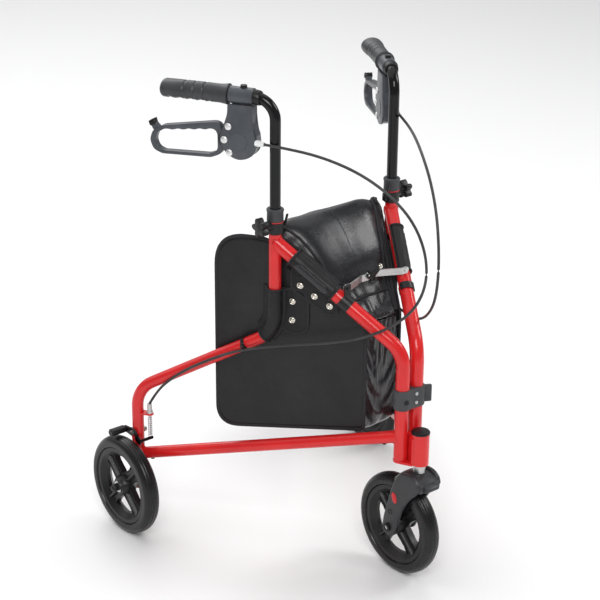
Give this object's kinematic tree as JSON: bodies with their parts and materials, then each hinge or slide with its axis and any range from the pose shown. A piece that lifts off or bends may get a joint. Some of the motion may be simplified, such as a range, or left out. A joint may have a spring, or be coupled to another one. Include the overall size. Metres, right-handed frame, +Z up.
{
  "type": "rollator walker",
  "caption": "Folding three-wheeled walker with bent tube side frames, a swivel caster, loop brake levers with cables, height-adjustable handles and a soft bag between the frames",
  "frame": {"origin": "middle of the footprint, on the floor that the wheels stand on", "axes": "+Z up; the user walks towards -Y; +X is the user's left"},
  "size_m": [0.6652, 0.6158, 0.8784],
  "materials": {
    "red_paint": "gloss",
    "black_paint": "gloss",
    "zinc_steel": "satin",
    "spring_steel": "satin",
    "bearing_steel": "satin",
    "black_plastic": "satin",
    "charcoal_plastic": "satin",
    "grip_rubber": "satin",
    "tyre_rubber": "satin",
    "cable_sheath": "satin",
    "bag_vinyl": "gloss, grained"
  },
  "bodies": {
    "right_frame": {"right_front_tube": "red_paint", "right_rear_tube": "red_paint", "right_bottom_tube": "red_paint", "right_cable_tab": "red_paint", "right_axle": "zinc_steel", "right_brake_pivot_bolt": "zinc_steel", "right_cable_adjuster": "zinc_steel", "right_brake_spring": "spring_steel", "right_brake_cable": "cable_sheath", "right_height_collar": "charcoal_plastic", "right_link_saddle": "black_plastic", "right_bag_panel": "bag_vinyl", "head_tube": "red_paint", "head_cap": "black_plastic", "head_bracket": "red_paint", "strap_hinge": "black_plastic", "headset": "bearing_steel", "bag_pouch": "bag_vinyl", "bag_flap": "bag_vinyl"},
    "left_frame": {"left_front_tube": "red_paint", "left_rear_tube": "red_paint", "left_bottom_tube": "red_paint", "left_cable_tab": "red_paint", "left_axle": "zinc_steel", "left_brake_pivot_bolt": "zinc_steel", "left_cable_adjuster": "zinc_steel", "left_brake_spring": "spring_steel", "left_brake_cable": "cable_sheath", "left_height_collar": "charcoal_plastic", "left_link_saddle": "black_plastic", "left_bag_panel": "bag_vinyl"},
    "left_handle": {"left_handle_tube": "black_paint", "left_grip": "grip_rubber", "left_brake_housing": "charcoal_plastic", "left_lever_fixings": "zinc_steel"},
    "left_knob": {"left_height_knob": "black_plastic"},
    "left_lever": {"left_brake_lever": "charcoal_plastic"},
    "left_brake": {"left_brake_arm": "black_paint"},
    "left_road_wheel": {"left_wheel": "black_plastic", "left_tyre": "tyre_rubber", "left_wheel_bearings": "bearing_steel"},
    "right_handle": {"right_handle_tube": "black_paint", "right_grip": "grip_rubber", "right_brake_housing": "charcoal_plastic", "right_lever_fixings": "zinc_steel"},
    "right_knob": {"right_height_knob": "black_plastic"},
    "right_lever": {"right_brake_lever": "charcoal_plastic"},
    "right_brake": {"right_brake_arm": "black_paint"},
    "right_road_wheel": {"right_wheel": "black_plastic", "right_tyre": "tyre_rubber", "right_wheel_bearings": "bearing_steel"},
    "right_link": {"right_link_bar": "zinc_steel", "link_pin": "zinc_steel"},
    "left_link": {"left_link_bar": "zinc_steel"},
    "caster": {"caster_fork": "black_plastic", "caster_stem": "zinc_steel", "front_axle": "zinc_steel"},
    "caster_wheel": {"front_wheel": "black_plastic", "front_tyre": "tyre_rubber", "front_wheel_bearings": "bearing_steel"}
  },
  "joints": [
    {"name": "frame_fold", "type": "hinge", "parent": "right_frame", "child": "left_frame", "pos_m": [0.0161, -0.22697, 0.3], "axis": [0, 0, 1], "range_deg": [0, 54], "deforming": ["bag_pouch", "bag_flap"]},
    {"name": "left_handle_height", "type": "slide", "parent": "left_frame", "child": "left_handle", "axis": [0, 0, 1], "range_m": [-0.035, 0.06], "deforming": ["left_brake_cable"]},
    {"name": "left_knob_turn", "type": "hinge", "parent": "left_frame", "child": "left_knob", "pos_m": [0.1343, -0.02224, 0.64], "axis": [1, 0, 0], "continuous": true},
    {"name": "left_lever_squeeze", "type": "hinge", "parent": "left_handle", "child": "left_lever", "pos_m": [0.1781, 0.05362, 0.784], "axis": [0.866, -0.5, 0], "range_deg": [0, 14], "stiffness_Nm_per_rad": 0.6, "springref_deg": -17.19},
    {"name": "left_brake_swing", "type": "hinge", "parent": "left_frame", "child": "left_brake", "pos_m": [0.2701, 0.21097, 0.197], "axis": [-1, 0, 0], "range_deg": [0, 6], "deforming": ["left_brake_spring"]},
    {"name": "left_wheel_spin", "type": "hinge", "parent": "left_frame", "child": "left_road_wheel", "pos_m": [0.3021, 0.21297, 0.095], "axis": [1, 0, 0], "continuous": true},
    {"name": "right_handle_height", "type": "slide", "parent": "right_frame", "child": "right_handle", "axis": [0, 0, 1], "range_m": [-0.035, 0.06], "deforming": ["right_brake_cable"]},
    {"name": "right_knob_turn", "type": "hinge", "parent": "right_frame", "child": "right_knob", "pos_m": [-0.1343, -0.02224, 0.64], "axis": [-1, 0, 0], "continuous": true},
    {"name": "right_lever_squeeze", "type": "hinge", "parent": "right_handle", "child": "right_lever", "pos_m": [-0.1781, 0.05362, 0.784], "axis": [0.866, 0.5, 0], "range_deg": [0, 14], "stiffness_Nm_per_rad": 0.6, "springref_deg": -17.19},
    {"name": "right_brake_swing", "type": "hinge", "parent": "right_frame", "child": "right_brake", "pos_m": [-0.2701, 0.21097, 0.197], "axis": [-1, 0, 0], "range_deg": [0, 6], "deforming": ["right_brake_spring"]},
    {"name": "right_wheel_spin", "type": "hinge", "parent": "right_frame", "child": "right_road_wheel", "pos_m": [-0.3021, 0.21297, 0.095], "axis": [1, 0, 0], "continuous": true},
    {"name": "caster_swivel", "type": "hinge", "parent": "right_frame", "child": "caster", "pos_m": [0, -0.25947, 0.2], "axis": [0, 0, 1], "continuous": true},
    {"name": "caster_wheel_spin", "type": "hinge", "parent": "caster", "child": "caster_wheel", "pos_m": [0, -0.21297, 0.095], "axis": [1, 0, 0], "continuous": true},
    {"name": "right_link_fold", "type": "hinge", "parent": "right_frame", "child": "right_link", "pos_m": [-0.0691, -0.13517, 0.541], "axis": [0, -1, 0], "range_deg": [0, 72.3]},
    {"name": "left_link_fold", "type": "hinge", "parent": "right_link", "child": "left_link", "pos_m": [0, -0.11717, 0.541], "axis": [0, -1, 0], "range_deg": [-144.6, 0]}
  ],
  "couplings": [
    {"joint": "right_link_fold", "follows": "frame_fold", "ratio": 1.3389},
    {"joint": "left_link_fold", "follows": "frame_fold", "ratio": -2.6778},
    {"joint": "left_brake_swing", "follows": "left_lever_squeeze", "ratio": 0.42857},
    {"joint": "right_brake_swing", "follows": "right_lever_squeeze", "ratio": 0.42857}
  ]
}
